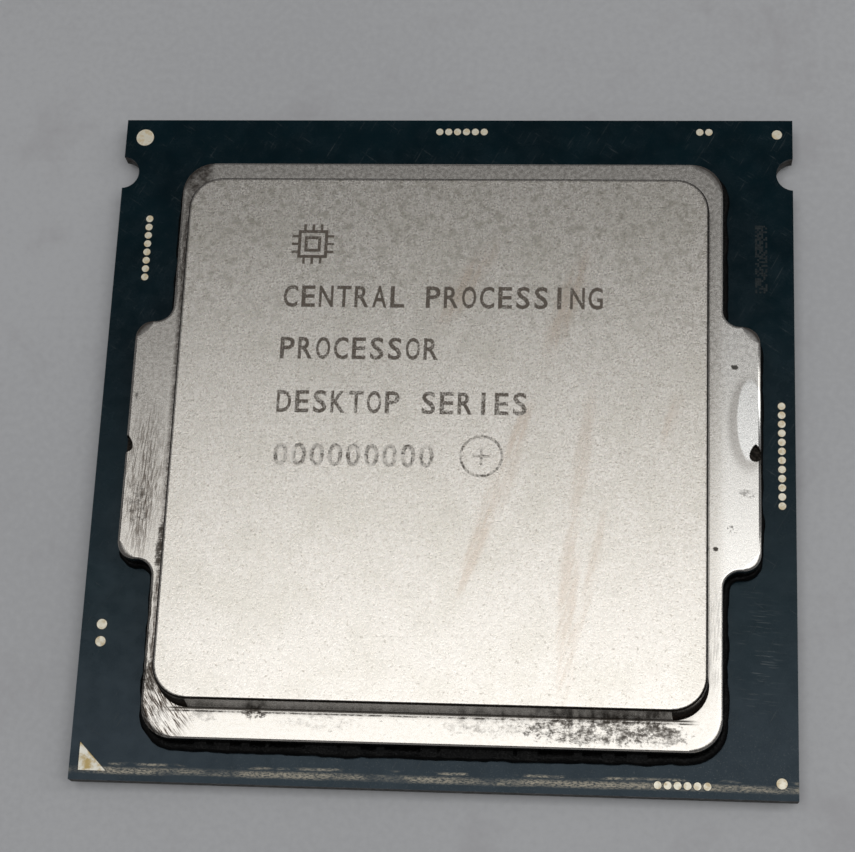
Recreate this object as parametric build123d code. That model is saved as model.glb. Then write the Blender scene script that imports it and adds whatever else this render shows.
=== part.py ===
from build123d import *
import math
import os

# A desktop processor in a land-grid package: a square laminate substrate with gold lands
# underneath, a silicon die on top of it, and a nickel-plated copper lid bonded over the die.
# Millimetres. The origin is the centre of the package in plan, on the plane that the lowest
# pieces, the large land-side capacitors, rest on. +Z points out of the lid, and +Y points to
# the edge near which the two key notches are cut.

# Package substrate
PACKAGE_SIDE = 37.5
CORE_THICK = 0.43
PLANE_THICK = 0.02
PLANE_INSET = 0.4
BUILD_UP_THICK = 0.19
MASK_THICK = 0.025
MASK_CLEARANCE = 0.03
KEY_NOTCH_RADIUS = 0.95
KEY_NOTCH_OVERHANG = 0.05
KEY_NOTCH_Y = 15.5

# Exposed copper on the lid side
PAD_THICK = 0.018
TEST_PAD_DIAMETER = 0.4
TEST_PAD_PITCH = 0.5
PROBE_PAD_DIAMETER = 0.55
PROBE_PAD_PITCH = 0.92
BACK_ROW_COUNT = 6
BACK_ROW_START_X = -0.85
BACK_PAIR_COUNT = 2
BACK_PAIR_START_X = 13.66
BACK_ROW_INSET = 0.7
LEFT_COLUMN_COUNT = 8
LEFT_COLUMN_START_Y = 12.67
LEFT_COLUMN_INSET = 1.75
LEFT_PROBE_COUNT = 2
LEFT_PROBE_START_Y = -10.54
LEFT_PROBE_INSET = 1.08
RIGHT_COLUMN_COUNT = 12
RIGHT_COLUMN_START_Y = 2.1
RIGHT_COLUMN_INSET = 0.72
FRONT_ROW_COUNT = 6
FRONT_ROW_START_X = 11.67
FRONT_ROW_INSET = 0.6
LARGE_FIDUCIAL_DIAMETER = 1.0
LARGE_FIDUCIAL_INSET = 1.08
SMALL_FIDUCIAL_DIAMETER = 0.55
SMALL_FIDUCIAL_INSET = 0.85
PIN_ONE_LEG = 1.46
PIN_ONE_INSET = 0.49

# Contact lands
LAND_THICK = 0.015
LAND_PITCH = 0.9144
LAND_COLUMNS = 40
LAND_ROWS = 40
LAND_WIDTH = 0.5
LAND_LENGTH = 0.7
LAND_CORNER_CLIP = 2
LAND_NOTCH_GAP = 0.35
WINDOW_FIRST_COLUMN = 11
WINDOW_COLUMNS = 17
WINDOW_FIRST_ROW = 7
WINDOW_ROWS = 25

# Land-side capacitors
CAP_PLATING = 0.015
CAP_SOLDER_THICK = 0.03
CAP_SOLDER_TOE = 0.16
CAP_SOLDER_CLIMB = 0.45
CAP_PAD_MARGIN = 0.05
LARGE_CAP_LENGTH = 1.6
LARGE_CAP_WIDTH = 0.8
LARGE_CAP_HEIGHT = 0.5
LARGE_CAP_BAND = 0.35
LARGE_CAP_COLUMNS = 2
LARGE_CAP_ROWS = 6
LARGE_CAP_SPACING_X = 2.9
LARGE_CAP_SPACING_Y = 3.3
SMALL_CAP_LENGTH = 1.0
SMALL_CAP_WIDTH = 0.5
SMALL_CAP_HEIGHT = 0.33
SMALL_CAP_BAND = 0.22
SMALL_CAP_COLUMNS = 2
SMALL_CAP_ROWS = 8
SMALL_CAP_SPACING_X = 1.9
SMALL_CAP_SPACING_Y = 2.4
SMALL_CAP_BLOCK_OFFSET = 5.2

# Die stack
DIE_WIDTH = 9.2
DIE_LENGTH = 13.3
DIE_THICK = 0.72
BUMP_HEIGHT = 0.07
BUMP_DIAMETER = 0.24
BUMP_PITCH = 0.65
BUMP_EDGE_MARGIN = 0.35
UNDERFILL_SPREAD = 0.7
UNDERFILL_CLIMB = 0.4
PASTE_THICK = 0.06
PASTE_SPREAD = 0.35

# Heat-spreader lid
LID_CENTRE_Y = -0.65
LID_SIDE_MARGIN = 3.87
LID_END_MARGIN = 2.7
LID_WIDTH = PACKAGE_SIDE - 2 * LID_SIDE_MARGIN
LID_LENGTH = PACKAGE_SIDE - 2 * LID_END_MARGIN
LID_CORNER_RADIUS = 1.7
EAR_REACH = 1.96
EAR_LENGTH = 13.36
EAR_CORNER_RADIUS = 0.95
EAR_ROOT_RADIUS = 0.9
EAR_ROUNDING_LIMIT = 0.49
FLANGE_THICK = 1.4
SIDE_LEDGE = 0.85
END_LEDGE = 1.74
PLATEAU_WIDTH = LID_WIDTH - 2 * SIDE_LEDGE
PLATEAU_LENGTH = LID_LENGTH - 2 * END_LEDGE
PLATEAU_RISE = 1.9
PLATEAU_DRAFT = 0.16
PLATEAU_CORNER_RADIUS = 1.65
PLATEAU_EDGE_RADIUS = 0.12
FLANGE_EDGE_RADIUS = 0.12
CAVITY_SIDE_WALL = 2.88
CAVITY_END_WALL = 3.05
LID_CAVITY_WIDTH = LID_WIDTH - 2 * CAVITY_SIDE_WALL
LID_CAVITY_LENGTH = LID_LENGTH - 2 * CAVITY_END_WALL
LID_CAVITY_RADIUS = 2.0
CORNER_ROLL_REACH = 2.1
CORNER_ROLL_BULGE = 0.28
EAR_ROLL_REACH = 1.3
EAR_ROLL_BULGE = 0.04
ROLL_SLOPE = 0.7
DIMPLE_RADIUS = 0.34
DIMPLE_DEPTH = 0.4
DIMPLE_TAIL = 0.7
DIMPLE_OFFSET_Y = -0.5
LEFT_DIMPLE_INSET = 0.06
RIGHT_DIMPLE_INSET = 0.28

# Sealant between lid and substrate
SEAL_THICK = 0.185
SEAL_RIM_WIDTH = 1.9
SEAL_SQUEEZE_OUT = 0.42
SEAL_BEAD_HEIGHT = 0.48
SEAL_BEAD_RADIUS = 0.3
SEAL_VENT_WIDTH = 1.2
SEAL_VENT_X = -4.0

# How close an edge or a corner has to be to a level or a line to be picked for rounding
PICK_TOLERANCE = 0.01

# Levels, from the resting plane up
CAP_PAD_FACE_Z = LARGE_CAP_HEIGHT + CAP_SOLDER_THICK
LOWER_BUILD_UP_Z = CAP_PAD_FACE_Z + PAD_THICK
LAND_SIDE_MASK_Z = LOWER_BUILD_UP_Z - MASK_THICK
LAND_FACE_Z = LAND_SIDE_MASK_Z - LAND_THICK
LOWER_PLANE_Z = LOWER_BUILD_UP_Z + BUILD_UP_THICK
CORE_Z = LOWER_PLANE_Z + PLANE_THICK
UPPER_PLANE_Z = CORE_Z + CORE_THICK
UPPER_BUILD_UP_Z = UPPER_PLANE_Z + PLANE_THICK
MASK_Z = UPPER_BUILD_UP_Z + BUILD_UP_THICK
SUBSTRATE_TOP_Z = MASK_Z + MASK_THICK
DIE_Z = SUBSTRATE_TOP_Z + BUMP_HEIGHT
PASTE_Z = DIE_Z + DIE_THICK
LID_CEILING_Z = PASTE_Z + PASTE_THICK
FLANGE_Z = SUBSTRATE_TOP_Z + SEAL_THICK
FLANGE_TOP_Z = FLANGE_Z + FLANGE_THICK
LID_TOP_Z = FLANGE_TOP_Z + PLATEAU_RISE

HALF_SIDE = PACKAGE_SIDE / 2
NOTCH_CENTRES = [
    (side * (HALF_SIDE + KEY_NOTCH_OVERHANG), KEY_NOTCH_Y) for side in (-1, 1)
]


def save(name, solids):
    """One STEP file for a node, with its pieces as separate solids."""
    group = solids[0] if len(solids) == 1 else Compound(solids)
    export_step(group, f"parts/{name}.step")


def slab(sketch, low_z, thickness):
    """A flat sheet of the sketch's outline, with its underside at low_z."""
    return Pos(0, 0, low_z) * extrude(sketch, amount=thickness)


def holed_sheet(sketch, windows, low_z, thickness):
    """A sheet whose windows, closed wires at z = 0, go right through it."""
    face = Face(sketch.face().outer_wire(), windows)
    return Pos(0, 0, low_z) * extrude(face, amount=thickness, dir=(0, 0, 1))


def package_outline(inset=0.0):
    """The square of the package with its two key notches, drawn in by the inset."""
    outline = Rectangle(PACKAGE_SIDE - 2 * inset, PACKAGE_SIDE - 2 * inset)
    for x, y in NOTCH_CENTRES:
        outline -= Pos(x, y) * Circle(KEY_NOTCH_RADIUS + inset)
    return outline


# ---- Substrate laminate


def make_laminate():
    plane = package_outline(PLANE_INSET)
    save("substrate_core", [slab(package_outline(), CORE_Z, CORE_THICK).solid()])
    for name, plane_z, low_z in (
        ("lower", LOWER_PLANE_Z, LOWER_BUILD_UP_Z),
        ("upper", UPPER_PLANE_Z, UPPER_PLANE_Z),
    ):
        copper = slab(plane, plane_z, PLANE_THICK)
        resin = slab(package_outline(), low_z, BUILD_UP_THICK + PLANE_THICK) - copper
        save(f"{name}_copper_plane", [copper.solid()])
        save(f"{name}_build_up_layers", [resin.solid()])


# ---- Gold pads on the lid side and the solder mask around them


def row_of_pads(count, start, step, diameter):
    """Centres and diameter of equal pads, from the start point and one step on."""
    return [
        (start[0] + index * step[0], start[1] + index * step[1], diameter)
        for index in range(count)
    ]


def lid_side_pads():
    """Every round pad on the lid side, by the node that holds it."""
    along_x = (TEST_PAD_PITCH, 0)
    down_y = (0, -TEST_PAD_PITCH)
    back_y = HALF_SIDE - BACK_ROW_INSET
    left_x = LEFT_COLUMN_INSET - HALF_SIDE
    right_x = HALF_SIDE - RIGHT_COLUMN_INSET
    front_y = FRONT_ROW_INSET - HALF_SIDE
    large_at = HALF_SIDE - LARGE_FIDUCIAL_INSET
    small_at = HALF_SIDE - SMALL_FIDUCIAL_INSET
    back = row_of_pads(
        BACK_ROW_COUNT, (BACK_ROW_START_X, back_y), along_x, TEST_PAD_DIAMETER
    )
    back += row_of_pads(
        BACK_PAIR_COUNT, (BACK_PAIR_START_X, back_y), along_x, TEST_PAD_DIAMETER
    )
    return {
        "back_edge_test_pads": back,
        "left_edge_test_pads": row_of_pads(
            LEFT_COLUMN_COUNT, (left_x, LEFT_COLUMN_START_Y), down_y, TEST_PAD_DIAMETER
        ),
        "right_edge_test_pads": row_of_pads(
            RIGHT_COLUMN_COUNT, (right_x, RIGHT_COLUMN_START_Y), down_y, TEST_PAD_DIAMETER
        ),
        "front_edge_test_pads": row_of_pads(
            FRONT_ROW_COUNT, (FRONT_ROW_START_X, front_y), along_x, TEST_PAD_DIAMETER
        ),
        "left_probe_pads": row_of_pads(
            LEFT_PROBE_COUNT,
            (LEFT_PROBE_INSET - HALF_SIDE, LEFT_PROBE_START_Y),
            (0, -PROBE_PAD_PITCH),
            PROBE_PAD_DIAMETER,
        ),
        "large_fiducial": [(-large_at, large_at, LARGE_FIDUCIAL_DIAMETER)],
        "small_fiducials": [
            (small_at, end * small_at, SMALL_FIDUCIAL_DIAMETER) for end in (1, -1)
        ],
    }


def pin_one_triangle(margin=0.0):
    """The right-angled pin-one mark in the front left corner, grown by the margin."""
    corner = PIN_ONE_INSET - HALF_SIDE
    tip = corner + PIN_ONE_LEG
    slant = margin * (1 + math.sqrt(2))
    return Polygon(
        (corner - margin, corner - margin),
        (tip + slant, corner - margin),
        (corner - margin, tip + slant),
        align=None,
    )


def make_lid_side_pads():
    windows = [pin_one_triangle(MASK_CLEARANCE).wire()]
    for name, pads in lid_side_pads().items():
        discs = []
        for x, y, diameter in pads:
            discs.append(
                Pos(x, y, MASK_Z + PAD_THICK / 2) * Cylinder(diameter / 2, PAD_THICK)
            )
            windows.append(
                (Pos(x, y) * Circle(diameter / 2 + MASK_CLEARANCE)).wire()
            )
        save(name, discs)
    save("pin_one_triangle", [slab(pin_one_triangle(), MASK_Z, PAD_THICK).solid()])
    mask = holed_sheet(package_outline(), windows, MASK_Z, MASK_THICK)
    save("lid_side_solder_mask", [mask.solid()])


# ---- Contact lands


def land_centre(column, row):
    """The plan position of the land in a column and row, counted from the front left."""
    return (
        (column - (LAND_COLUMNS - 1) / 2) * LAND_PITCH,
        (row - (LAND_ROWS - 1) / 2) * LAND_PITCH,
    )


def in_window_columns(column):
    return WINDOW_FIRST_COLUMN <= column < WINDOW_FIRST_COLUMN + WINDOW_COLUMNS


def in_window_rows(row):
    return WINDOW_FIRST_ROW <= row < WINDOW_FIRST_ROW + WINDOW_ROWS


def has_land(column, row):
    """No land in the capacitor window, in the clipped corners, or beside a notch."""
    if in_window_columns(column) and in_window_rows(row):
        return False
    from_side = min(column, LAND_COLUMNS - 1 - column)
    from_end = min(row, LAND_ROWS - 1 - row)
    if min(from_side, from_end) == 0 and from_side + from_end <= LAND_CORNER_CLIP:
        return False
    clear = KEY_NOTCH_RADIUS + LAND_LENGTH / 2 + LAND_NOTCH_GAP
    return all(
        math.dist(land_centre(column, row), notch) > clear for notch in NOTCH_CENTRES
    )


def land_group(column, row):
    """Which side of the capacitor window a land lies on."""
    if row < WINDOW_FIRST_ROW:
        return "front_contact_lands"
    if not in_window_rows(row):
        return "back_contact_lands"
    if column < WINDOW_FIRST_COLUMN:
        return "left_contact_lands"
    return "right_contact_lands"


def make_lands():
    """The lands, on the outer face of the land-side mask."""
    outline = SlotOverall(LAND_LENGTH, LAND_WIDTH, rotation=90)
    land = slab(outline, LAND_FACE_Z, LAND_THICK).solid()
    groups = {}
    for column in range(LAND_COLUMNS):
        for row in range(LAND_ROWS):
            if has_land(column, row):
                placed = Pos(*land_centre(column, row)) * land
                groups.setdefault(land_group(column, row), []).append(placed)
    for name, lands in groups.items():
        save(name, lands)
    print("contact lands", sum(len(lands) for lands in groups.values()))


# ---- Capacitors on the land side


def window_centre():
    """The middle of the window that the lands leave for the capacitors."""
    low = land_centre(WINDOW_FIRST_COLUMN, WINDOW_FIRST_ROW)
    high = land_centre(
        WINDOW_FIRST_COLUMN + WINDOW_COLUMNS - 1, WINDOW_FIRST_ROW + WINDOW_ROWS - 1
    )
    return Pos((low[0] + high[0]) / 2, (low[1] + high[1]) / 2)


def capacitor(length, width, height, band):
    """Body, two terminals, two solder joints and two pads of a chip capacitor along X."""
    top_z = CAP_PAD_FACE_Z - CAP_SOLDER_THICK
    middle = Pos(0, 0, top_z - height / 2)
    shell = 2 * CAP_PLATING
    body = middle * Box(length - shell, width - shell, height - shell)
    climb = CAP_SOLDER_CLIMB * height
    pad_length = band + CAP_SOLDER_TOE + CAP_PAD_MARGIN
    terminals = []
    joints = []
    pads = []
    for end in (-1, 1):
        tip = end * length / 2
        heel = tip - end * band
        toe = tip + end * CAP_SOLDER_TOE
        terminal = middle * Pos((tip + heel) / 2, 0) * Box(band, width, height) - body
        terminals.append(terminal.solid())
        profile = Plane.XZ * Polygon(
            (heel, CAP_PAD_FACE_Z),
            (toe, CAP_PAD_FACE_Z),
            (tip, top_z - climb),
            (tip, top_z),
            (heel, top_z),
            align=None,
        )
        joints.append(extrude(profile, amount=width / 2, both=True).solid())
        pad = Rectangle(pad_length, width + 2 * CAP_PAD_MARGIN)
        pads.append(Pos(heel + end * pad_length / 2, 0) * pad)
    return body.solid(), terminals, joints, pads


def capacitor_places():
    """Where the large and the small capacitors stand, in the window's own frame."""
    large = GridLocations(
        LARGE_CAP_SPACING_X, LARGE_CAP_SPACING_Y, LARGE_CAP_COLUMNS, LARGE_CAP_ROWS
    )
    block = GridLocations(
        SMALL_CAP_SPACING_X, SMALL_CAP_SPACING_Y, SMALL_CAP_COLUMNS, SMALL_CAP_ROWS
    )
    small = [
        Pos(side * SMALL_CAP_BLOCK_OFFSET, 0) * place for side in (-1, 1) for place in block
    ]
    return list(large), small


def make_capacitors():
    """The capacitors with their joints and pads, and the mask that is open round the pads."""
    large_places, small_places = capacitor_places()
    large = capacitor(LARGE_CAP_LENGTH, LARGE_CAP_WIDTH, LARGE_CAP_HEIGHT, LARGE_CAP_BAND)
    small = capacitor(SMALL_CAP_LENGTH, SMALL_CAP_WIDTH, SMALL_CAP_HEIGHT, SMALL_CAP_BAND)
    all_pads = []
    windows = []
    for name, places, (body, terminals, joints, pads) in (
        ("large", large_places, large),
        ("small", small_places, small),
    ):
        placed = [window_centre() * place for place in places]
        save(f"{name}_capacitor_bodies", [at * body for at in placed])
        save(f"{name}_capacitor_terminals", [at * end for at in placed for end in terminals])
        save(f"{name}_capacitor_solder", [at * joint for at in placed for joint in joints])
        for at in placed:
            for pad in pads:
                all_pads.append(at * slab(pad, CAP_PAD_FACE_Z, PAD_THICK).solid())
                window = offset(pad, MASK_CLEARANCE, kind=Kind.INTERSECTION)
                windows.append((at * window).wire())
    save("capacitor_pads", all_pads)
    mask = holed_sheet(package_outline(), windows, LAND_SIDE_MASK_Z, MASK_THICK)
    save("land_side_solder_mask", [mask.solid()])


# ---- Die, its bumps, underfill and thermal paste


def bump_places():
    """The bump grid that fits inside the die's edge margin."""
    columns = int((DIE_WIDTH - 2 * BUMP_EDGE_MARGIN) / BUMP_PITCH) + 1
    rows = int((DIE_LENGTH - 2 * BUMP_EDGE_MARGIN) / BUMP_PITCH) + 1
    grid = GridLocations(BUMP_PITCH, BUMP_PITCH, columns, rows)
    return [Pos(0, LID_CENTRE_Y) * place for place in grid]


def make_die_stack():
    centre = Pos(0, LID_CENTRE_Y)
    die = centre * slab(Rectangle(DIE_WIDTH, DIE_LENGTH), DIE_Z, DIE_THICK)
    save("silicon_die", [die.solid()])

    bump = Pos(0, 0, SUBSTRATE_TOP_Z + BUMP_HEIGHT / 2) * Cylinder(
        BUMP_DIAMETER / 2, BUMP_HEIGHT
    )
    save("die_solder_bumps", [place * bump for place in bump_places()])

    holes = [(place * Circle(BUMP_DIAMETER / 2)).wire() for place in bump_places()]
    bed_outline = centre * Rectangle(DIE_WIDTH, DIE_LENGTH)
    bed = holed_sheet(bed_outline, holes, SUBSTRATE_TOP_Z, BUMP_HEIGHT)
    skirt_top = UNDERFILL_CLIMB * DIE_THICK + BUMP_HEIGHT
    foot = Rectangle(DIE_WIDTH + 2 * UNDERFILL_SPREAD, DIE_LENGTH + 2 * UNDERFILL_SPREAD)
    skirt = loft([foot, Pos(0, 0, skirt_top) * Rectangle(DIE_WIDTH, DIE_LENGTH)])
    skirt = Pos(0, LID_CENTRE_Y, SUBSTRATE_TOP_Z) * skirt
    skirt -= slab(bed_outline, SUBSTRATE_TOP_Z, skirt_top)
    save("die_underfill", [(skirt + bed).solid()])

    paste_outline = RectangleRounded(
        DIE_WIDTH + 2 * PASTE_SPREAD, DIE_LENGTH + 2 * PASTE_SPREAD, PASTE_SPREAD
    )
    paste = centre * slab(paste_outline, PASTE_Z, PASTE_THICK)
    save("thermal_paste", [paste.solid()])


# ---- Lid


def lid_outline():
    """The flange's plan: a rounded rectangle with an ear on each side."""
    half_width = LID_WIDTH / 2
    half_span = half_width + EAR_REACH
    ear_limit = EAR_ROUNDING_LIMIT * EAR_REACH
    plan = Rectangle(LID_WIDTH, LID_LENGTH) + Rectangle(2 * half_span, EAR_LENGTH)
    tips = [v for v in plan.vertices() if abs(abs(v.X) - half_span) < PICK_TOLERANCE]
    plan = fillet(tips, min(EAR_CORNER_RADIUS, ear_limit))
    roots = [
        v
        for v in plan.vertices()
        if abs(abs(v.X) - half_width) < PICK_TOLERANCE
        and abs(abs(v.Y) - EAR_LENGTH / 2) < PICK_TOLERANCE
    ]
    plan = fillet(roots, min(EAR_ROOT_RADIUS, ear_limit))
    half_length = LID_LENGTH / 2
    corners = [v for v in plan.vertices() if abs(abs(v.Y) - half_length) < PICK_TOLERANCE]
    return fillet(corners, LID_CORNER_RADIUS)


def edge_roll(corner_x, corner_y, reach, bulge):
    """The cut that leaves a stamped corner rolled over: a shallow cone from a curved
    line, which bulges outwards between two points a reach away from the sharp corner."""
    half_chord = reach / math.sqrt(2)
    radius = (half_chord**2 + bulge**2) / (2 * bulge)
    inward = (half_chord + radius - bulge) / math.sqrt(2)
    side = math.copysign(1, corner_x)
    end = math.copysign(1, corner_y)
    profile = Plane.XZ * Polygon(
        (radius, 0),
        (radius + reach, -ROLL_SLOPE * reach),
        (radius + reach, reach),
        (radius, reach),
        align=None,
    )
    centre = Pos(corner_x - side * inward, corner_y - end * inward, FLANGE_TOP_Z)
    cone = centre * revolve(profile, Axis.Z)
    block = Pos(corner_x, corner_y, FLANGE_TOP_Z) * Box(2 * reach, 2 * reach, 4 * reach)
    return cone & block


def ear_dimple(side, inset):
    """A teardrop pocket at an ear's outer edge, with its point towards +Y."""
    drop = Circle(DIMPLE_RADIUS) + Polygon(
        (-DIMPLE_RADIUS, 0), (DIMPLE_RADIUS, 0), (0, DIMPLE_TAIL), align=None
    )
    x = side * (LID_WIDTH / 2 + EAR_REACH - inset)
    return Pos(x, DIMPLE_OFFSET_Y) * slab(drop, FLANGE_TOP_Z - DIMPLE_DEPTH, DIMPLE_DEPTH)


def make_lid():
    flange = slab(lid_outline(), FLANGE_Z, FLANGE_THICK)
    rim = [e for e in flange.edges() if e.center().Z > FLANGE_TOP_Z - PICK_TOLERANCE]
    lid = fillet(rim, FLANGE_EDGE_RADIUS)

    foot = RectangleRounded(
        PLATEAU_WIDTH + 2 * PLATEAU_DRAFT,
        PLATEAU_LENGTH + 2 * PLATEAU_DRAFT,
        PLATEAU_CORNER_RADIUS + PLATEAU_DRAFT,
    )
    lean = math.degrees(math.atan(PLATEAU_DRAFT / PLATEAU_RISE))
    plateau = extrude(foot, amount=PLATEAU_RISE, taper=lean)
    top_rim = [e for e in plateau.edges() if e.center().Z > PLATEAU_RISE - PICK_TOLERANCE]
    plateau = fillet(top_rim, PLATEAU_EDGE_RADIUS)
    lid += Pos(0, 0, FLANGE_TOP_Z) * plateau

    for side in (-1, 1):
        for end in (-1, 1):
            lid -= edge_roll(
                side * LID_WIDTH / 2, end * LID_LENGTH / 2, CORNER_ROLL_REACH, CORNER_ROLL_BULGE
            )
            lid -= edge_roll(
                side * (LID_WIDTH / 2 + EAR_REACH),
                end * EAR_LENGTH / 2,
                EAR_ROLL_REACH,
                EAR_ROLL_BULGE,
            )
    lid -= ear_dimple(-1, LEFT_DIMPLE_INSET)
    lid -= ear_dimple(1, RIGHT_DIMPLE_INSET)

    cavity = RectangleRounded(LID_CAVITY_WIDTH, LID_CAVITY_LENGTH, LID_CAVITY_RADIUS)
    lid -= slab(cavity, FLANGE_Z, LID_CEILING_Z - FLANGE_Z)
    save("heat_spreader_lid", [(Pos(0, LID_CENTRE_Y) * lid).solid()])


def make_seal():
    """The silicone ring under the flange, with its bead squeezed out round the edge."""
    bead = offset(lid_outline(), SEAL_SQUEEZE_OUT, kind=Kind.ARC)
    ring = slab(bead, SUBSTRATE_TOP_Z, SEAL_BEAD_HEIGHT)
    bead_top = SUBSTRATE_TOP_Z + SEAL_BEAD_HEIGHT
    top_edges = [e for e in ring.edges() if e.center().Z > bead_top - PICK_TOLERANCE]
    ring = fillet(top_edges, SEAL_BEAD_RADIUS)
    ring -= slab(lid_outline(), FLANGE_Z, FLANGE_THICK)
    inside = RectangleRounded(
        LID_WIDTH - 2 * SEAL_RIM_WIDTH,
        LID_LENGTH - 2 * SEAL_RIM_WIDTH,
        LID_CAVITY_RADIUS,
    )
    ring -= slab(inside, SUBSTRATE_TOP_Z, SEAL_BEAD_HEIGHT)
    vent_length = SEAL_RIM_WIDTH + 2 * SEAL_SQUEEZE_OUT
    vent = Pos(SEAL_VENT_X, LID_LENGTH / 2 + SEAL_SQUEEZE_OUT - vent_length / 2)
    ring -= vent * slab(
        Rectangle(SEAL_VENT_WIDTH, vent_length), SUBSTRATE_TOP_Z, SEAL_BEAD_HEIGHT
    )
    save("lid_sealant", [(Pos(0, LID_CENTRE_Y) * ring).solid()])


os.makedirs("parts", exist_ok=True)
make_laminate()
make_lid_side_pads()
make_lands()
make_capacitors()
make_die_stack()
make_lid()
make_seal()
print("land face to lid top", round(LID_TOP_Z - LAND_FACE_Z, 3))
print("overall height", round(LID_TOP_Z, 3))
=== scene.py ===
import math
import random

import bmesh
import bpy
from mathutils import Matrix, Quaternion, Vector, noise


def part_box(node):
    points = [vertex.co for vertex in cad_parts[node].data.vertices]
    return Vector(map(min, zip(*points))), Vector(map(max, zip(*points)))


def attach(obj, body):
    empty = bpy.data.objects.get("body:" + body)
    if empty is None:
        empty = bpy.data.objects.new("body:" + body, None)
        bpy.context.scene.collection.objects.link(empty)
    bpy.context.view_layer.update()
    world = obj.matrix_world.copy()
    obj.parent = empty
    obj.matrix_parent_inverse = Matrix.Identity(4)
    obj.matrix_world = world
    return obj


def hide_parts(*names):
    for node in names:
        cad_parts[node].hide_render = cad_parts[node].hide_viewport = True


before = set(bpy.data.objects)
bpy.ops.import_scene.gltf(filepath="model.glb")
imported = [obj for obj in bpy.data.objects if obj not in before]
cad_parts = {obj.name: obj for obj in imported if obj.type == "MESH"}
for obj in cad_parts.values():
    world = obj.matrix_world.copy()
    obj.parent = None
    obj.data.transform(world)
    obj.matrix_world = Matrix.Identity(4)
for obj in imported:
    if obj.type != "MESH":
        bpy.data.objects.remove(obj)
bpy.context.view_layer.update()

mm = 0.001


# ---- Bench
# A sheet of smooth pale card that the processor lies on, face up. It is plain pressed paper,
# slightly mottled, and isn't part of the object.

def open_finish(name):
    """A new finish with its node tree, its shader and the piece's own coordinates."""
    finish = bpy.data.materials.new(name)
    finish.use_nodes = True
    tree = finish.node_tree
    shader = tree.nodes["Principled BSDF"]
    place = tree.nodes.new("ShaderNodeTexCoord").outputs["Object"]
    return finish, tree, shader, place


def feed(tree, socket, value):
    """Links a node's output to a socket, or sets a plain value on it."""
    if isinstance(value, bpy.types.NodeSocket):
        tree.links.new(value, socket)
    else:
        socket.default_value = value


def grain(tree, place, size, detail=2.0, roughness=0.5, turn=0.0, stretch=(1, 1, 1)):
    """Noise whose marks are about `size` metres across, turned and stretched in plan."""
    mapping = tree.nodes.new("ShaderNodeMapping")
    mapping.vector_type = "TEXTURE"
    mapping.inputs["Rotation"].default_value = (0, 0, math.radians(turn))
    mapping.inputs["Scale"].default_value = stretch
    tree.links.new(place, mapping.inputs["Vector"])
    marks = tree.nodes.new("ShaderNodeTexNoise")
    marks.inputs["Scale"].default_value = 1 / size
    marks.inputs["Detail"].default_value = detail
    marks.inputs["Roughness"].default_value = roughness
    tree.links.new(mapping.outputs["Vector"], marks.inputs["Vector"])
    return marks.outputs["Fac"]


def ease(tree, value, start, end, low=0.0, high=1.0):
    """Goes smoothly from `low` to `high` as the value goes from `start` to `end`."""
    span = tree.nodes.new("ShaderNodeMapRange")
    span.interpolation_type = "SMOOTHSTEP"
    feed(tree, span.inputs["Value"], value)
    for name, number in (("From Min", start), ("From Max", end), ("To Min", low), ("To Max", high)):
        feed(tree, span.inputs[name], number)
    return span.outputs["Result"]


def sum_up(tree, operation, *values):
    """Folds the values together with one kind of Math node."""
    result = values[0]
    for value in values[1:]:
        step = tree.nodes.new("ShaderNodeMath")
        step.operation = operation
        feed(tree, step.inputs[0], result)
        feed(tree, step.inputs[1], value)
        result = step.outputs[0]
    return result


def tint(tree, amount, below, above):
    """The colour `below` where the amount is 0, going to `above` where it is 1."""
    mix = tree.nodes.new("ShaderNodeMix")
    mix.data_type = "RGBA"
    feed(tree, mix.inputs["Factor"], amount)
    for socket, colour in ((mix.inputs[6], below), (mix.inputs[7], above)):
        feed(tree, socket, colour if isinstance(colour, bpy.types.NodeSocket) else (*colour, 1))
    return mix.outputs[2]


def emboss(tree, shader, height, depth):
    """Bumps of `depth` metres, where the height is a value from 0 to 1."""
    bump = tree.nodes.new("ShaderNodeBump")
    bump.inputs["Distance"].default_value = depth
    tree.links.new(height, bump.inputs["Height"])
    tree.links.new(bump.outputs["Normal"], shader.inputs["Normal"])


def keep_mesh(name, bm, finish):
    """A piece made of a finished bmesh, at the origin."""
    mesh = bpy.data.meshes.new(name)
    bm.to_mesh(mesh)
    bm.free()
    mesh.materials.append(finish)
    piece = bpy.data.objects.new(name, mesh)
    bpy.context.scene.collection.objects.link(piece)
    return piece


card_finish, tree, shader, place = open_finish("pale_card")
fibres = grain(tree, place, 0.35 * mm, 4)
clouds = grain(tree, place, 30 * mm, 2)
card_tone = ease(tree, sum_up(tree, "ADD", fibres, clouds), 0.7, 1.3)
card = tint(tree, card_tone, (0.585, 0.585, 0.60), (0.64, 0.64, 0.655))
stains = grain(tree, place, 5.5 * mm, 6, 0.62)
card = tint(tree, ease(tree, stains, 0.52, 0.72, 0.0, 0.45), card, (0.50, 0.485, 0.50))
tree.links.new(card, shader.inputs["Base Color"])
tree.links.new(ease(tree, fibres, 0.3, 0.7, 0.62, 0.75), shader.inputs["Roughness"])
shader.inputs["Specular IOR Level"].default_value = 0.2
emboss(tree, shader, fibres, 0.004 * mm)

bm = bmesh.new()
bmesh.ops.create_grid(bm, x_segments=2, y_segments=2, size=0.6)
bench = keep_mesh("bench_card", bm, card_finish)


# ---- Lights
# One broad soft box hangs over the bench. Its long side reaches to the right, so the short soft
# shadow falls to the left, and its back edge is what makes the lid darken away from the viewer.
# A small weak box low at the right only lifts the edges that face it.

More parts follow.
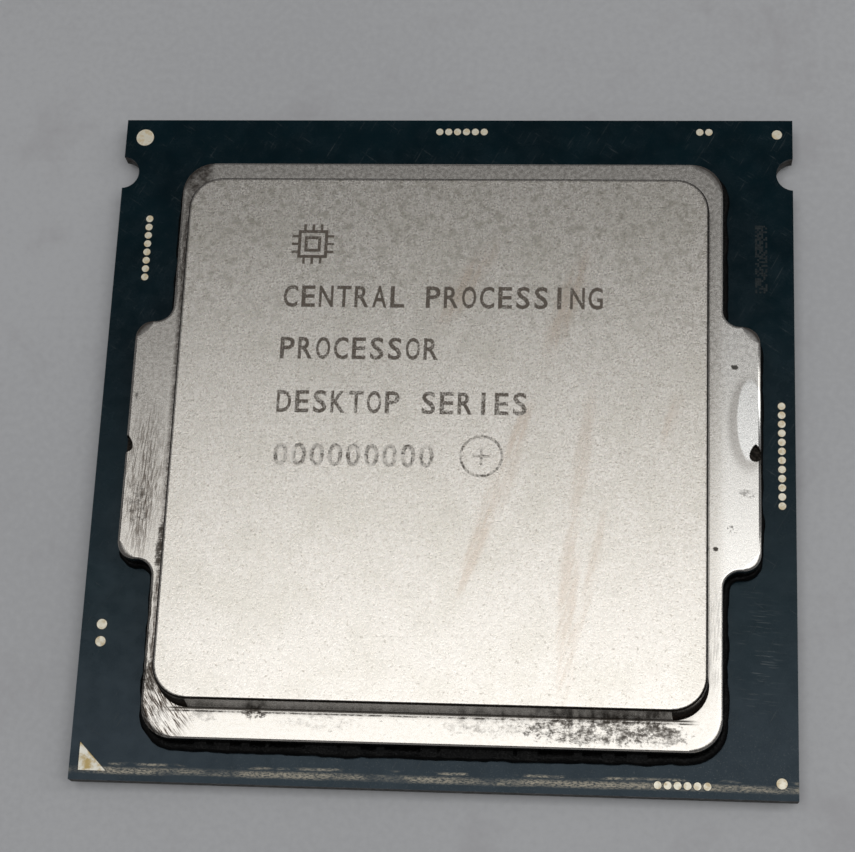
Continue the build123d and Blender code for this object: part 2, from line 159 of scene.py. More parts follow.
def soft_box(name, place, aim, width, length, power, colour):
    lamp = bpy.data.lights.new(name, "AREA")
    lamp.shape = "RECTANGLE"
    lamp.size = width
    lamp.size_y = length
    lamp.energy = power
    lamp.color = colour
    holder = bpy.data.objects.new(name, lamp)
    bpy.context.scene.collection.objects.link(holder)
    holder.location = place
    holder.rotation_mode = "QUATERNION"
    holder.rotation_quaternion = (Vector(aim) - Vector(place)).to_track_quat("-Z", "Y")


overhead_place = (0.08, -0.039, 0.42)
soft_box(
    "overhead_box", overhead_place, (*overhead_place[:2], 0.0), 0.52, 0.302, 0.84, (0.985, 1.0, 1.0)
)
soft_box("right_box", (0.40, 0.10, 0.30), (0.0, 0.0, 0.0), 0.12, 0.16, 0.10, (1.0, 0.99, 0.97))

room = bpy.data.worlds.new("room")
room.use_nodes = True
room.node_tree.nodes["Background"].inputs["Color"].default_value = (0.97, 0.98, 1.0, 1)
room.node_tree.nodes["Background"].inputs["Strength"].default_value = 0.125
bpy.context.scene.world = room
bpy.context.scene.view_settings.view_transform = "Standard"


# ---- Camera
# Held about eleven centimetres over the package and a little towards the viewer, so the front
# edge is nearer than the back edge, with a slight turn of the wrist.

mask_low, mask_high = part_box("lid_side_solder_mask")
substrate_top = mask_high.z

view_from = Vector((9.77 * mm, -33.03 * mm, 108.04 * mm + substrate_top))
view_at = Vector((-0.82 * mm, 0.71 * mm, substrate_top))
view_roll = -15.77
lens = bpy.data.cameras.new("camera")
lens.sensor_width = 36
lens.lens = 88.97
lens.clip_start = 0.005
camera = bpy.data.objects.new("camera", lens)
bpy.context.scene.collection.objects.link(camera)
camera.location = view_from
camera.rotation_mode = "QUATERNION"
level_view = (view_at - view_from).to_track_quat("-Z", "Y")
camera.rotation_quaternion = level_view @ Quaternion((0, 0, 1), math.radians(view_roll))
bpy.context.scene.camera = camera


# ---- Laminate
# The substrate is a stiff core of woven glass in resin, with a copper plane and build-up resin
# layers pressed on to each face. The cut edge shows the glass layers as fine brown lines.

def dress(node, finish):
    """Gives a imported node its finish, in every slot it has."""
    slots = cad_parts[node].material_slots
    for holder in slots:
        holder.material = finish


core_finish, tree, shader, place = open_finish("glass_laminate")
plies = grain(tree, place, 0.06 * mm, 3, stretch=(12, 12, 1))
weave = grain(tree, place, 0.25 * mm, 4)
tree.links.new(
    tint(tree, ease(tree, plies, 0.35, 0.65), (0.010, 0.007, 0.005), (0.030, 0.022, 0.014)),
    shader.inputs["Base Color"],
)
tree.links.new(ease(tree, weave, 0.3, 0.7, 0.5, 0.85), shader.inputs["Roughness"])
emboss(tree, shader, sum_up(tree, "ADD", plies, weave), 0.012 * mm)
dress("substrate_core", core_finish)

plane_finish, tree, shader, place = open_finish("inner_copper")
tarnish = grain(tree, place, 0.8 * mm, 5)
tree.links.new(
    tint(tree, ease(tree, tarnish, 0.35, 0.7), (0.72, 0.33, 0.18), (0.42, 0.18, 0.10)),
    shader.inputs["Base Color"],
)
shader.inputs["Metallic"].default_value = 1.0
tree.links.new(ease(tree, tarnish, 0.3, 0.7, 0.3, 0.5), shader.inputs["Roughness"])
emboss(tree, shader, grain(tree, place, 0.05 * mm, 3), 0.003 * mm)
dress("lower_copper_plane", plane_finish)
dress("upper_copper_plane", plane_finish)

resin_finish, tree, shader, place = open_finish("build_up_resin")
filler = grain(tree, place, 0.08 * mm, 4)
dust = grain(tree, place, 0.5 * mm, 4)
tree.links.new(
    tint(tree, ease(tree, filler, 0.35, 0.7), (0.010, 0.012, 0.011), (0.028, 0.027, 0.022)),
    shader.inputs["Base Color"],
)
tree.links.new(ease(tree, dust, 0.3, 0.7, 0.45, 0.75), shader.inputs["Roughness"])
emboss(tree, shader, filler, 0.008 * mm)
dress("lower_build_up_layers", resin_finish)
dress("upper_build_up_layers", resin_finish)


# ---- Solder masks
# A thin printed film of blue-black epoxy covers each face of the laminate. The lid side has
# picked up fine scratches and dust, and two pale rub lines from a socket along its front edge.

def nearness(tree, place, centre, reach, turn=0.0):
    """1 at the centre, falling to 0 at the turned ellipsoid whose half sizes are the reach."""
    mapping = tree.nodes.new("ShaderNodeMapping")
    mapping.vector_type = "TEXTURE"
    mapping.inputs["Location"].default_value = centre
    mapping.inputs["Rotation"].default_value = (0, 0, math.radians(turn))
    mapping.inputs["Scale"].default_value = reach
    tree.links.new(place, mapping.inputs["Vector"])
    length = tree.nodes.new("ShaderNodeVectorMath")
    length.operation = "LENGTH"
    tree.links.new(mapping.outputs[0], length.inputs[0])
    return ease(tree, length.outputs["Value"], 1.0, 0.0)


def along(tree, place):
    """The separate X, Y and Z of the piece's own coordinates."""
    parts = tree.nodes.new("ShaderNodeSeparateXYZ")
    tree.links.new(place, parts.inputs[0])
    return parts.outputs[0], parts.outputs[1], parts.outputs[2]


def band(tree, value, middle, half_width, edge):
    """1 within a half width of the middle, with soft edges."""
    off = sum_up(tree, "ABSOLUTE", sum_up(tree, "SUBTRACT", value, middle), 0.0)
    return ease(tree, off, half_width + edge, half_width)


mask_finish, tree, shader, place = open_finish("lid_side_mask")
x, y, z = along(tree, place)
front_edge = mask_low.y
ripple = grain(tree, place, 3.0 * mm, 3)
mist = grain(tree, place, 1.3 * mm, 6, 0.65)
specks = grain(tree, place, 0.07 * mm, 2)
hairlines = grain(tree, place, 0.05 * mm, 2, turn=62, stretch=(40, 1, 1))
cross_lines = grain(tree, place, 0.06 * mm, 2, turn=-35, stretch=(30, 1, 1))
rub_wobble = sum_up(
    tree, "MULTIPLY", sum_up(tree, "SUBTRACT", grain(tree, place, 4.0 * mm, 2), 0.5), 0.22 * mm
)
rub_y = sum_up(tree, "ADD", y, rub_wobble)
rub_threads = grain(tree, place, 0.055 * mm, 3, 0.7, turn=-1, stretch=(3.5, 1, 1))
rub_break = grain(tree, place, 1.1 * mm, 4, 0.6, stretch=(2.5, 1, 1))
outer_rub = sum_up(
    tree, "MULTIPLY",
    band(tree, rub_y, front_edge + 0.52 * mm, 0.05 * mm, 0.20 * mm),
    ease(tree, rub_break, 0.34, 0.56, 0.15, 1.0),
)
inner_rub = sum_up(
    tree, "MULTIPLY",
    band(tree, rub_y, front_edge + 0.86 * mm, 0.01 * mm, 0.10 * mm),
    ease(tree, rub_break, 0.46, 0.60),
)
rub_depth = sum_up(tree, "MAXIMUM", outer_rub, inner_rub)
rubs = sum_up(tree, "MULTIPLY", rub_depth, ease(tree, rub_threads, 0.40, 0.58, 0.08, 1.0))
dust_zone = sum_up(
    tree, "MAXIMUM",
    nearness(tree, place, (14 * mm, -17 * mm, substrate_top), (11 * mm, 4 * mm, 9 * mm)),
    nearness(tree, place, (0, -18 * mm, substrate_top), (20 * mm, 2.2 * mm, 9 * mm)),
)
dust_specks = sum_up(
    tree, "MULTIPLY", ease(tree, specks, 0.60, 0.72), ease(tree, dust_zone, 0.0, 0.9, 0.06, 0.8)
)
socket_scrapes = sum_up(
    tree, "MULTIPLY",
    ease(tree, grain(tree, place, 0.07 * mm, 3, turn=-4, stretch=(16, 1, 1)), 0.60, 0.68),
    nearness(tree, place, (16.6 * mm, -11.5 * mm, substrate_top), (1.9 * mm, 5.0 * mm, 9 * mm)),
)
fine_lines = sum_up(
    tree, "MULTIPLY",
    sum_up(tree, "MAXIMUM", ease(tree, hairlines, 0.66, 0.74), ease(tree, cross_lines, 0.67, 0.75)),
    ease(tree, mist, 0.42, 0.62, 0.0, 0.5),
)
film = tint(
    tree, ease(tree, ripple, 0.3, 0.7), (0.0006, 0.0085, 0.0125), (0.0012, 0.0125, 0.0180)
)
# Painted sheen: the film is painted lighter towards the front edge, standing in for the lamp's gloss
# reflected there.
film = tint(tree, ease(tree, y, -9 * mm, -17 * mm), film, (0.020, 0.031, 0.041))
pale_marks = sum_up(tree, "MAXIMUM", dust_specks, fine_lines, socket_scrapes)
film = tint(tree, pale_marks, film, (0.10, 0.11, 0.11))
film = tint(tree, rubs, film, (0.60, 0.54, 0.43))
tree.links.new(film, shader.inputs["Base Color"])
shader.inputs["Specular IOR Level"].default_value = 0.24
shader.inputs["Specular Tint"].default_value = (0.72, 0.88, 1.0, 1)
worn_gloss = ease(tree, mist, 0.3, 0.7, 0.18, 0.32)
tree.links.new(sum_up(tree, "MAXIMUM", worn_gloss, rubs), shader.inputs["Roughness"])
mask_height = sum_up(
    tree, "ADD", ripple, sum_up(tree, "MULTIPLY", specks, 0.12),
    sum_up(tree, "MULTIPLY", fine_lines, -0.2),
)
emboss(tree, shader, mask_height, 0.02 * mm)
dress("lid_side_solder_mask", mask_finish)

land_mask_finish, tree, shader, place = open_finish("land_side_mask")
ripple = grain(tree, place, 1.2 * mm, 4)
specks = grain(tree, place, 0.06 * mm, 2)
tree.links.new(
    tint(tree, ease(tree, ripple, 0.3, 0.7), (0.004, 0.022, 0.020), (0.008, 0.032, 0.028)),
    shader.inputs["Base Color"],
)
tree.links.new(ease(tree, ripple, 0.3, 0.7, 0.3, 0.5), shader.inputs["Roughness"])
emboss(tree, shader, sum_up(tree, "ADD", ripple, specks), 0.005 * mm)
dress("land_side_solder_mask", land_mask_finish)


# ---- Gold pads
# Test pads, probe pads, camera targets and the pin-one triangle are bare copper, plated with
# nickel and a thin coat of gold. Probes and fingers have left their middles tan.

pad_finish, tree, shader, place = open_finish("pad_gold")
stain = grain(tree, place, 0.22 * mm, 4)
probe = grain(tree, place, 0.05 * mm, 3)
pale_gold = tint(tree, ease(tree, stain, 0.42, 0.68), (0.97, 0.90, 0.74), (0.86, 0.71, 0.47))
tree.links.new(pale_gold, shader.inputs["Base Color"])
shader.inputs["Metallic"].default_value = 0.45
tree.links.new(ease(tree, stain, 0.3, 0.7, 0.38, 0.6), shader.inputs["Roughness"])
emboss(tree, shader, sum_up(tree, "ADD", stain, probe), 0.008 * mm)
for node in (
    "back_edge_test_pads", "front_edge_test_pads", "left_edge_test_pads", "right_edge_test_pads",
    "left_probe_pads", "large_fiducial", "small_fiducials", "capacitor_pads",
):
    dress(node, pad_finish)

triangle_finish, tree, shader, place = open_finish("pin_one_gold")
stain = grain(tree, place, 0.5 * mm, 5, 0.6)
probe = grain(tree, place, 0.06 * mm, 3)
worn_gold = tint(tree, ease(tree, stain, 0.4, 0.62), (0.95, 0.91, 0.80), (0.70, 0.52, 0.22))
tree.links.new(worn_gold, shader.inputs["Base Color"])
shader.inputs["Metallic"].default_value = 0.45
tree.links.new(ease(tree, stain, 0.3, 0.7, 0.4, 0.62), shader.inputs["Roughness"])
emboss(tree, shader, sum_up(tree, "ADD", stain, probe), 0.008 * mm)
dress("pin_one_triangle", triangle_finish)


# ---- Tracking strip
# A faint grey dot code is lasered into the mask near the right edge, so that a reader on the
# line can follow each strip. Here it is a plain field of random dots that encodes nothing.

strip_finish, tree, shader, place = open_finish("laser_grey")
ash = grain(tree, place, 0.12 * mm, 3)
tree.links.new(
    tint(tree, ease(tree, ash, 0.35, 0.65), (0.010, 0.016, 0.019), (0.040, 0.048, 0.050)),
    shader.inputs["Base Color"],
)
tree.links.new(ease(tree, ash, 0.3, 0.7, 0.6, 0.9), shader.inputs["Roughness"])
shader.inputs["Specular IOR Level"].default_value = 0.25
emboss(tree, shader, ash, 0.004 * mm)

dot_pitch = 0.11 * mm
dot_side = 0.92 * dot_pitch
dot_height = 0.003 * mm
strip_left = mask_high.x - 2.08 * mm
strip_bottom = mask_high.y - 10.25 * mm
dots = random.Random(11)
bm = bmesh.new()
for column in range(6):
    for row in range(36):
        if dots.random() < 0.62:
            at = (
                strip_left + (column + 0.5) * dot_pitch,
                strip_bottom + (row + 0.5) * dot_pitch,
                substrate_top + dot_height / 2,
            )
            flat = Matrix.Translation(at) @ Matrix.Diagonal((dot_side, dot_side, dot_height, 1))
            bmesh.ops.create_cube(bm, size=1, matrix=flat)
tracking_strip = keep_mesh("tracking_dots", bm, strip_finish)
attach(tracking_strip, "root")


# ---- Contact lands
# The underside's field of small copper lands is plated with nickel and gold. Each carries a
# short wipe mark, where a socket's spring finger has dragged over it.

land_finish, tree, shader, place = open_finish("land_gold")
tone = grain(tree, place, 1.5 * mm, 4)
wipe = grain(tree, place, 0.05 * mm, 3, stretch=(1, 6, 1))
land_gold = tint(tree, ease(tree, tone, 0.35, 0.65), (0.95, 0.68, 0.30), (0.85, 0.58, 0.24))
land_gold = tint(tree, ease(tree, wipe, 0.62, 0.72, 0.0, 0.5), land_gold, (0.98, 0.80, 0.48))
tree.links.new(land_gold, shader.inputs["Base Color"])
shader.inputs["Metallic"].default_value = 1.0
tree.links.new(ease(tree, wipe, 0.3, 0.7, 0.24, 0.42), shader.inputs["Roughness"])
emboss(tree, shader, wipe, 0.004 * mm)
for side in ("front", "back", "left", "right"):
    dress(f"{side}_contact_lands", land_finish)


# ---- Land-side capacitors
# Chip capacitors, stacks of fired ceramic with tin-dipped ends, are soldered in the window
# that the lands leave, and each solder joint creeps up the end of its chip.

ceramic_finish, tree, shader, place = open_finish("fired_ceramic")
fired = grain(tree, place, 0.35 * mm, 4)
pores = grain(tree, place, 0.03 * mm, 2)
tree.links.new(
    tint(tree, ease(tree, fired, 0.35, 0.65), (0.23, 0.145, 0.085), (0.33, 0.22, 0.135)),
    shader.inputs["Base Color"],
)
tree.links.new(ease(tree, pores, 0.3, 0.7, 0.45, 0.65), shader.inputs["Roughness"])
emboss(tree, shader, pores, 0.004 * mm)
dress("large_capacitor_bodies", ceramic_finish)
dress("small_capacitor_bodies", ceramic_finish)

tin_finish, tree, shader, place = open_finish("dipped_tin")
frost = grain(tree, place, 0.09 * mm, 4)
tree.links.new(
    tint(tree, ease(tree, frost, 0.35, 0.65), (0.62, 0.61, 0.58), (0.74, 0.73, 0.70)),
    shader.inputs["Base Color"],
)
shader.inputs["Metallic"].default_value = 1.0
tree.links.new(ease(tree, frost, 0.3, 0.7, 0.34, 0.52), shader.inputs["Roughness"])
emboss(tree, shader, frost, 0.008 * mm)
dress("large_capacitor_terminals", tin_finish)
dress("small_capacitor_terminals", tin_finish)

solder_finish, tree, shader, place = open_finish("reflowed_solder")
flow = grain(tree, place, 0.2 * mm, 4)
tree.links.new(
    tint(tree, ease(tree, flow, 0.35, 0.65), (0.66, 0.66, 0.65), (0.80, 0.80, 0.79)),
    shader.inputs["Base Color"],
)
shader.inputs["Metallic"].default_value = 1.0
tree.links.new(ease(tree, flow, 0.3, 0.7, 0.16, 0.34), shader.inputs["Roughness"])
emboss(tree, shader, flow, 0.012 * mm)
for node in ("large_capacitor_solder", "small_capacitor_solder", "die_solder_bumps"):
    dress(node, solder_finish)


# ---- Die, underfill and thermal paste
# The silicon die is flipped on to its solder bumps, an epoxy underfill is drawn in beneath it,
# and grey silver-filled paste carries its heat to the lid. All of it is out of sight.

die_finish, tree, shader, place = open_finish("polished_silicon")
haze = grain(tree, place, 2.0 * mm, 3)
grind = grain(tree, place, 0.04 * mm, 2, turn=20, stretch=(60, 1, 1))
tree.links.new(
    tint(tree, ease(tree, haze, 0.3, 0.7), (0.17, 0.18, 0.20), (0.23, 0.24, 0.27)),
    shader.inputs["Base Color"],
)
shader.inputs["Metallic"].default_value = 0.8
tree.links.new(ease(tree, grind, 0.3, 0.7, 0.1, 0.25), shader.inputs["Roughness"])
emboss(tree, shader, grind, 0.002 * mm)
dress("silicon_die", die_finish)

fill_finish, tree, shader, place = open_finish("amber_underfill")
flow = grain(tree, place, 0.6 * mm, 4)
tree.links.new(
    tint(tree, ease(tree, flow, 0.3, 0.7), (0.045, 0.032, 0.02), (0.085, 0.06, 0.035)),
    shader.inputs["Base Color"],
)
tree.links.new(ease(tree, flow, 0.3, 0.7, 0.15, 0.3), shader.inputs["Roughness"])
emboss(tree, shader, flow, 0.01 * mm)
dress("die_underfill", fill_finish)

paste_finish, tree, shader, place = open_finish("silver_paste")
smear = grain(tree, place, 0.3 * mm, 5, stretch=(3, 1, 1))
tree.links.new(
    tint(tree, ease(tree, smear, 0.35, 0.65), (0.36, 0.37, 0.38), (0.52, 0.53, 0.54)),
    shader.inputs["Base Color"],
)
tree.links.new(ease(tree, smear, 0.3, 0.7, 0.45, 0.7), shader.inputs["Roughness"])
emboss(tree, shader, smear, 0.015 * mm)
dress("thermal_paste", paste_finish)


# ---- Sealant
# A ring of black silicone bonds the lid to the substrate. It squeezed out as a low uneven bead
# all round the flange, fuller along the front, and a gap at the back lets the inside breathe.

seal_finish, tree, shader, place = open_finish("black_silicone")
lumps = grain(tree, place, 0.4 * mm, 3)
pips = grain(tree, place, 0.09 * mm, 3)
tree.links.new(
    tint(tree, ease(tree, lumps, 0.35, 0.7), (0.0012, 0.0012, 0.0014), (0.0040, 0.0036, 0.0034)),
    shader.inputs["Base Color"],
)
shader.inputs["Specular IOR Level"].default_value = 0.14
tree.links.new(ease(tree, pips, 0.35, 0.65, 0.3, 0.6), shader.inputs["Roughness"])
emboss(tree, shader, sum_up(tree, "ADD", lumps, pips), 0.05 * mm)

lid_low, lid_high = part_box("heat_spreader_lid")
lid_centre_y = (lid_low.y + lid_high.y) / 2
half_length = (lid_high.y - lid_low.y) / 2
half_span = lid_high.x
ear_reach = 1.96 * mm
half_body = half_span - ear_reach
half_ear = 6.68 * mm
flange_radius, ear_root_radius, ear_tip_radius = 1.7 * mm, 0.9 * mm, 0.95 * mm


def rounded_plate(bm, corners, height):
    """A flat face at a height, with each corner rounded to its own radius."""
    points = [bm.verts.new((px, lid_centre_y + py, height)) for px, py, radius in corners]
    others = set(bm.faces)
    bm.faces.new(points)
    for radius in sorted({radius for px, py, radius in corners}):
        same = [v for v, corner in zip(points, corners) if corner[2] == radius]
        bmesh.ops.bevel(
            bm, geom=same, affect="VERTICES", offset=radius, segments=10, profile=0.5, material=-1
        )
    return [f for f in bm.faces if f not in others][0]


def eared_corners(side, end, ear, corner_radius, root_radius, tip_radius):
    """The flange's outline, grown by `side` and `end` on the body and by `ear` on the ears."""
    quarter = [
        (half_body + side, -half_length - end, corner_radius),
        (half_body + side, -half_ear - ear, root_radius),
        (half_span + ear, -half_ear - ear, tip_radius),
    ]
    right = quarter + [(px, -py, radius) for px, py, radius in reversed(quarter)]
    return right + [(-px, py, radius) for px, py, radius in reversed(right)]


def finely_edged(face, step):
    """Halves a face's long edges until each is no longer than two steps."""
    waiting = list(face.edges)
    while waiting:
        edge = waiting.pop()
        if edge.calc_length() > 2 * step:
            other_half, middle = bmesh.utils.edge_split(edge, edge.verts[0], 0.5)
            waiting += [edge, other_half]


def draw_wall(bm, face, height, keep_start=False):
    """Draws a wall from a face's edges, and gives back the face at the wall's far end."""
    drawn = bmesh.ops.extrude_face_region(bm, geom=[face])["geom"]
    bmesh.ops.translate(
        bm, vec=(0, 0, height), verts=[g for g in drawn if isinstance(g, bmesh.types.BMVert)]
    )
    if face.is_valid and not keep_start:
        bmesh.ops.delete(bm, geom=[face], context="FACES_ONLY")
    return [g for g in drawn if isinstance(g, bmesh.types.BMFace)][0]


def box_corners(half_x, half_y, radius):
    """The four corners of a rounded oblong."""
    return [
        (side_x * half_x, side_y * half_y, radius)
        for side_x, side_y in ((-1, -1), (1, -1), (1, 1), (-1, 1))
    ]


bead_height = 0.44 * mm
bead_step = 0.2 * mm
bead_out_side, bead_out_end, bead_out_ear = 0.36 * mm, 0.42 * mm, 0.2 * mm
bm = bmesh.new()
foot_face = rounded_plate(
    bm,
    eared_corners(bead_out_side, bead_out_end, bead_out_ear, 2.05 * mm, 0.6 * mm, 1.12 * mm),
    substrate_top,
)
finely_edged(foot_face, bead_step)
foot_loop = list(foot_face.edges)
crown = draw_wall(bm, foot_face, 0.14 * mm)
for shrink, lift in ((0.03 * mm, 0.12 * mm), (0.07 * mm, 0.10 * mm)):
    bmesh.ops.inset_region(bm, faces=[crown], thickness=shrink, depth=lift, use_even_offset=True)
bm.normal_update()
for point in bm.verts:
    out = Vector((point.normal.x, point.normal.y))
    if out.length > 0.05:
        spot = point.co / mm
        swell = 0.10 * noise.noise(spot / 1.3) + 0.06 * noise.noise(spot / 0.45)
        if point.co.y < lid_low.y:
            swell += 0.10 * math.cos(point.co.x / half_body * 1.4)
        point.co.xy += out.normalized() * swell * mm
        if point.co.z > substrate_top + 0.2 * mm:
            point.co.z += 0.05 * mm * noise.noise(spot / 0.6 + Vector((7, 0, 0)))
crown_loop = list(crown.edges)
bmesh.ops.delete(bm, geom=[crown], context="FACES_ONLY")
lip_face = rounded_plate(
    bm, eared_corners(0, 0, 0, flange_radius, ear_root_radius, ear_tip_radius),
    substrate_top + bead_height,
)
finely_edged(lip_face, bead_step)
lip_loop = list(lip_face.edges)
seat_face = draw_wall(bm, lip_face, lid_low.z - substrate_top - bead_height)
seat_loop = list(seat_face.edges)
bmesh.ops.delete(bm, geom=[seat_face], context="FACES_ONLY")
bmesh.ops.bridge_loops(bm, edges=crown_loop + lip_loop)
seat_width = 1.9 * mm
inner_face = rounded_plate(
    bm, box_corners(half_body - seat_width, half_length - seat_width, 2 * mm), lid_low.z
)
inner_loop = list(inner_face.edges)
floor_face = draw_wall(bm, inner_face, substrate_top - lid_low.z)
floor_loop = list(floor_face.edges)
bmesh.ops.delete(bm, geom=[floor_face], context="FACES_ONLY")
bmesh.ops.triangle_fill(bm, use_beauty=True, edges=seat_loop + inner_loop)
bmesh.ops.triangle_fill(bm, use_beauty=True, edges=foot_loop + floor_loop)
bmesh.ops.recalc_face_normals(bm, faces=bm.faces)
for face in bm.faces:
    face.smooth = abs(face.normal.z) < 0.98 and face.calc_area() < 1e-6
sealant = keep_mesh("sealant_bead", bm, seal_finish)


def cut_with(piece, cutter):
    """Takes the cutter's shape out of the piece for good."""
    cut = piece.modifiers.new("cut", "BOOLEAN")
    cut.operation = "DIFFERENCE"
    cut.object = cutter
    bpy.context.view_layer.update()
    shaped = piece.evaluated_get(bpy.context.evaluated_depsgraph_get())
    mesh = bpy.data.meshes.new_from_object(shaped)
    piece.modifiers.clear()
    piece.data = mesh
    bpy.data.objects.remove(cutter)


bm = bmesh.new()
vent_at = (-4 * mm, lid_centre_y + half_length - 0.6 * mm, substrate_top + 0.3 * mm)
vent_size = (1.2 * mm, 3.2 * mm, 0.7 * mm)
bmesh.ops.create_cube(
    bm, size=1, matrix=Matrix.Translation(vent_at) @ Matrix.Diagonal((*vent_size, 1))
)
cut_with(sealant, keep_mesh("vent_cutter", bm, seal_finish))
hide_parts("lid_sealant")
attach(sealant, "root")


# ---- Heat-spreader lid
# The lid is coined from copper plate and plated with nickel: a flange with an ear on each side
# for the socket's clamp, and a raised square plateau, blasted to a satin grain on top.

flange_top = lid_low.z + 1.4 * mm
plateau_top = lid_high.z
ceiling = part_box("thermal_paste")[1].z
rim_bevel = 0.14 * mm
flange_corners = eared_corners(0, 0, 0, flange_radius, ear_root_radius, ear_tip_radius)
bm = bmesh.new()
foot = rounded_plate(bm, flange_corners, lid_low.z)
draw_wall(bm, foot, flange_top - lid_low.z, keep_start=True)
rim = [e for e in bm.edges if all(abs(v.co.z - flange_top) < 1e-7 for v in e.verts)]
bmesh.ops.bevel(
    bm, geom=rim, affect="EDGES", offset=rim_bevel, segments=4, profile=0.5, material=-1
)
# The outer corners are coined over wider than the rim, least at the front.
for corner_x, corner_y, radius in flange_corners:
    if radius == ear_root_radius:
        continue
    sharp = Vector((corner_x, lid_centre_y + corner_y))
    inward = Vector((-math.copysign(radius, corner_x), -math.copysign(radius, corner_y)))
    arc_centre = sharp + inward
    extra = (1.9 if radius == flange_radius else 2.6) * (1.0 if corner_y > 0 else 0.6)
    for point in bm.verts:
        arm = point.co.xy - arc_centre
        on_rim = point.co.z > flange_top - rim_bevel - 0.001 * mm
        if on_rim and arm.dot(inward) < 0 and arm.length > 0.5 * radius:
            across = abs(arm.normalized().dot(inward.normalized()))
            arc_end = math.cos(math.pi / 4)
            share = max(0.0, (across - arc_end) / (1 - arc_end)) ** 0.6
            if arm.length <= radius + 1e-7:
                kept_in = radius - arm.length
                point.co.xy = arc_centre + arm.normalized() * (radius - kept_in * (1 + extra * share))
flange_face = max(
    (f for f in bm.faces if all(abs(v.co.z - flange_top) < 1e-7 for v in f.verts)),
    key=lambda f: f.calc_area(),
)
flange_loop = list(flange_face.edges)
bmesh.ops.delete(bm, geom=[flange_face], context="FACES_ONLY")
foot_face = max(
    (f for f in bm.faces if all(abs(v.co.z - lid_low.z) < 1e-7 for v in f.verts)),
    key=lambda f: f.calc_area(),
)
foot_loop = list(foot_face.edges)
bmesh.ops.delete(bm, geom=[foot_face], context="FACES_ONLY")

plateau_draft = 0.16 * mm
plateau_half_x, plateau_half_y = 14.03 * mm, 14.31 * mm
plateau_foot_x, plateau_foot_y = plateau_half_x + plateau_draft, plateau_half_y + plateau_draft
plateau_face = rounded_plate(bm, box_corners(plateau_foot_x, plateau_foot_y, 1.81 * mm), flange_top)
plateau_loop = list(plateau_face.edges)
summit = draw_wall(bm, plateau_face, plateau_top - flange_top)
bmesh.ops.scale(
    bm, vec=(plateau_half_x / plateau_foot_x, plateau_half_y / plateau_foot_y, 1),
    space=Matrix.Translation((0, -lid_centre_y, 0)), verts=summit.verts,
)
crest = [e for e in bm.edges if all(abs(v.co.z - plateau_top) < 1e-7 for v in e.verts)]
bmesh.ops.bevel(
    bm, geom=crest, affect="EDGES", offset=0.16 * mm, segments=4, profile=0.5, material=-1
)
bmesh.ops.triangle_fill(bm, use_beauty=True, edges=flange_loop + plateau_loop)

cavity_half_x, cavity_half_y = 12 * mm, 13 * mm
cavity_face = rounded_plate(bm, box_corners(cavity_half_x, cavity_half_y, 2 * mm), lid_low.z)
cavity_loop = list(cavity_face.edges)
draw_wall(bm, cavity_face, ceiling - lid_low.z)
bmesh.ops.triangle_fill(bm, use_beauty=True, edges=foot_loop + cavity_loop)
bmesh.ops.recalc_face_normals(bm, faces=bm.faces)
for face in bm.faces:
    face.smooth = abs(face.normal.z) < 0.999 and face.calc_area() < 0.8e-6

lid_finish, tree, shader, place = open_finish("satin_nickel")
x, y, z = along(tree, place)
on_top = ease(tree, z, plateau_top - 0.045 * mm, plateau_top - 0.01 * mm)
on_flange = ease(tree, z, flange_top + 0.10 * mm, flange_top + 0.02 * mm)
on_side = ease(tree, z, flange_top - 0.10 * mm, flange_top - 0.30 * mm)
on_wall = sum_up(tree, "SUBTRACT", 1.0, sum_up(tree, "MAXIMUM", on_top, on_flange))


def blasting(tree, place, dark, light):
    """The blasted top's fine grain, and its colour from the fine and coarse grains together."""
    fine = grain(tree, place, 0.085 * mm, 3, 0.65)
    coarse = grain(tree, place, 0.19 * mm, 3, 0.6)
    mix = sum_up(
        tree, "ADD", sum_up(tree, "MULTIPLY", fine, 0.65), sum_up(tree, "MULTIPLY", coarse, 0.35)
    )
    return fine, tint(tree, ease(tree, mix, 0.38, 0.62), dark, light)


def near_on_flange(tree, place, centre, reach):
    """How near a point is to a spot on the flange, whose centre and reach are in millimetres."""
    return nearness(
        tree, place, (*[c * mm for c in centre], flange_top), (*[r * mm for r in reach], 3 * mm)
    )


blast, satin = blasting(tree, place, (0.64, 0.59, 0.53), (0.88, 0.83, 0.775))
cloud = grain(tree, place, 3.0 * mm, 4)
# Painted highlight: the plateau's grain is painted lighter and evener towards the front, where the
# lamp's reflection is brightest.
satin = tint(tree, ease(tree, y, -3 * mm, -14 * mm, 0.0, 0.5), satin, (0.82, 0.77, 0.715))
satin = tint(tree, ease(tree, cloud, 0.4, 0.7, 0.0, 0.30), satin, (0.62, 0.58, 0.50))
# Darker mottled patches on the plateau, more of them towards the back.
mottle = grain(tree, place, 0.34 * mm, 4, 0.6)
patch_share = ease(tree, y, 1 * mm, 12 * mm, 0.13, 0.72)
dark_patches = sum_up(tree, "MULTIPLY", ease(tree, mottle, 0.50, 0.64), patch_share)
satin = tint(tree, dark_patches, satin, (0.47, 0.435, 0.375))
flecks = ease(tree, grain(tree, place, 0.15 * mm, 3), 0.62, 0.70, 0.0, 0.5)
satin = tint(tree, flecks, satin, (0.30, 0.26, 0.21))
threads = grain(tree, place, 0.30 * mm, 4, 0.6, turn=74, stretch=(9, 1, 1))
